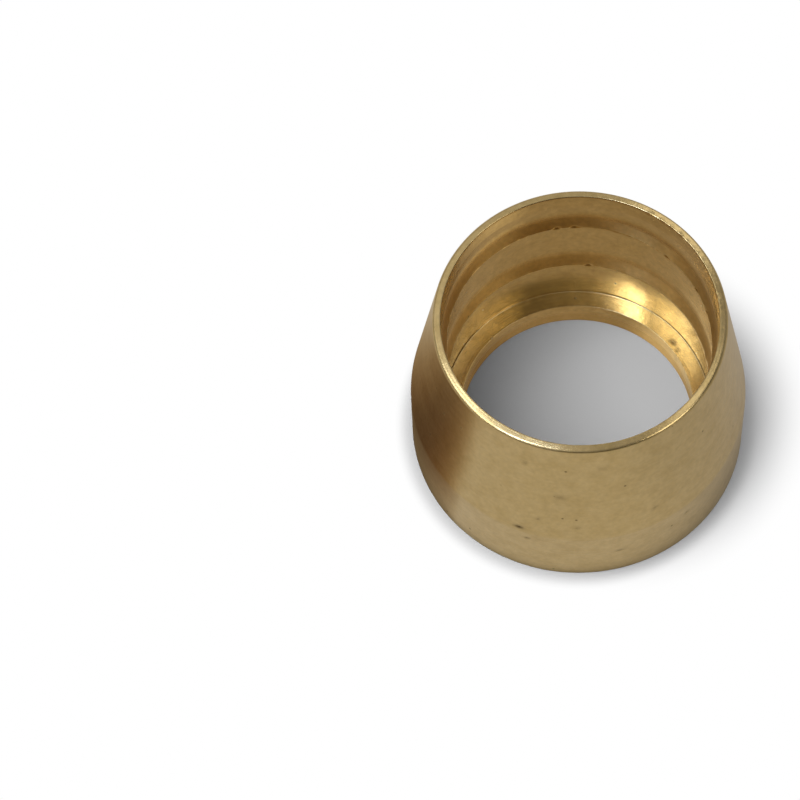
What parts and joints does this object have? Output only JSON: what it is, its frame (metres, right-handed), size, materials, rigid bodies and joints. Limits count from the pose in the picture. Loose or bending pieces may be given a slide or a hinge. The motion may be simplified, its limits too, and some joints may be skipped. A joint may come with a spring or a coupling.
{
  "type": "compression olive",
  "caption": "Turned brass compression olive: a ring with a cylindrical land, a long outer taper and a barbed, shouldered bore that grips the liner of a hose inside its end fitting.",
  "frame": {"origin": "centre of the flat base face at the wide end, on the turning axis", "axes": "+Z along the axis from the base face to the tapered mouth; X and Y are free, because the ring is turned"},
  "size_m": [0.0186, 0.0186, 0.0127],
  "materials": {
    "brass": "fine turned, satin, unpolished"
  },
  "bodies": {
    "root": {"olive": "brass"}
  },
  "joints": []
}
